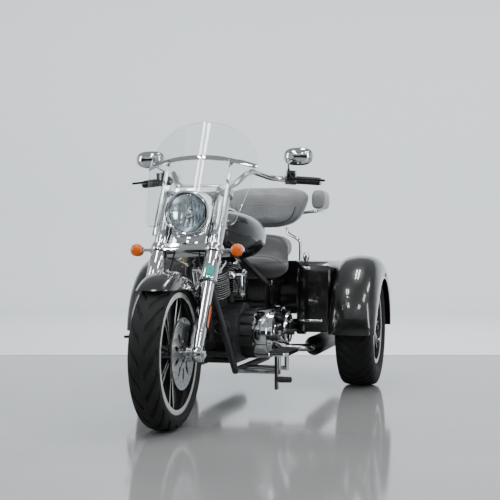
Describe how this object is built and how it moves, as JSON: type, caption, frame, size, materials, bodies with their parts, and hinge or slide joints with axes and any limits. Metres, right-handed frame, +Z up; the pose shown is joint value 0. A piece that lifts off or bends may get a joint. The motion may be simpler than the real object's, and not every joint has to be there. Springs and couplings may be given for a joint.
{
  "type": "motorized trike",
  "caption": "Three-wheeled motor cycle: raked fork with windshield and wide bars, V-twin engine, long tank, stepped seat with backrest and armrests, trunk body between rear fenders.",
  "frame": {"origin": "on the ground, at the middle of the bounding box's base", "axes": "+X to the rider's left, +Y to the rear, +Z up"},
  "size_m": [1.4026, 2.665, 1.3462],
  "materials": {
    "frame_black": "gloss black powder coat",
    "engine_black": "black wrinkle coat over cast aluminium",
    "chrome": "polished chrome",
    "steel_pipe": "heat-tinted plated steel",
    "polished_aluminium": "polished",
    "plated_steel": "ground",
    "charcoal_paint": "metallic charcoal gloss",
    "black_body": "moulded composite, gloss black",
    "vinyl": "stitched vinyl over foam",
    "belt_rubber": "moulded",
    "red_lens": "clear red",
    "amber_lens": "clear amber",
    "clear_glass": "clear",
    "clear_sheet": "clear formed sheet",
    "mirror_silver": "silvered glass",
    "cast_wheel": "black with machined edges",
    "tyre": "matte"
  },
  "bodies": {
    "chassis": {"frame": "frame_black", "crankcase": "engine_black", "cylinders": "engine_black", "rocker_covers": "chrome", "pushrod_tubes": "chrome", "primary_cover": "chrome", "gearbox": "engine_black", "air_cleaner": "engine_black", "horn": "chrome", "oil_cooler": "engine_black", "exhaust_pipes": "steel_pipe", "mufflers": "chrome", "fuel_tank": "charcoal_paint", "tank_console": "chrome", "seat": "vinyl", "backrest_frame": "chrome", "backrest_pad": "vinyl", "armrests": "vinyl", "rear_body": "black_body", "rear_fender_left": "black_body", "rear_fender_right": "black_body", "side_covers": "frame_black", "floorboards": "engine_black", "foot_controls": "engine_black", "swingarm": "frame_black", "rear_axle": "frame_black", "drive_belt": "belt_rubber", "tail_lamps": "red_lens"},
    "steering": {"triple_clamp": "chrome", "front_axle": "plated_steel", "fork_legs": "polished_aluminium", "fork_covers": "chrome", "headlight_shell": "chrome", "headlight_lens": "clear_glass", "nacelle_panel": "chrome", "front_fender": "charcoal_paint", "brake_calipers": "engine_black", "brake_hoses": "belt_rubber", "handlebar": "chrome", "grips": "belt_rubber", "hand_controls": "engine_black", "mirrors": "chrome", "mirror_glass": "mirror_silver", "windshield": "clear_sheet", "windshield_trim": "chrome", "signal_bodies": "engine_black", "signal_lenses": "amber_lens"},
    "front_wheel": {"front_rim": "cast_wheel", "front_tyre": "tyre", "front_discs": "plated_steel"},
    "rear_left_wheel": {"rear_rim_left": "cast_wheel", "rear_tyre_left": "tyre"},
    "rear_right_wheel": {"rear_rim_right": "cast_wheel", "rear_tyre_right": "tyre"},
    "trunk_lid": {"trunk_door": "black_body"}
  },
  "joints": [
    {"name": "steering", "type": "hinge", "parent": "chassis", "child": "steering", "pos_m": [0, -0.59541, 0.83682], "axis": [0, 0.5299, 0.848], "range_deg": [-32, 32]},
    {"name": "front_wheel_spin", "type": "hinge", "parent": "steering", "child": "front_wheel", "pos_m": [0, -1.013, 0.3195], "axis": [1, 0, 0], "continuous": true},
    {"name": "rear_left_spin", "type": "hinge", "parent": "chassis", "child": "rear_left_wheel", "pos_m": [0.565, 0.657, 0.324], "axis": [1, 0, 0], "continuous": true},
    {"name": "rear_right_spin", "type": "hinge", "parent": "chassis", "child": "rear_right_wheel", "pos_m": [-0.565, 0.657, 0.324], "axis": [1, 0, 0], "continuous": true},
    {"name": "trunk_hinge", "type": "hinge", "parent": "chassis", "child": "trunk_lid", "pos_m": [0, 1.2756, 0.428], "axis": [-1, 0, 0], "range_deg": [0, 85]}
  ]
}
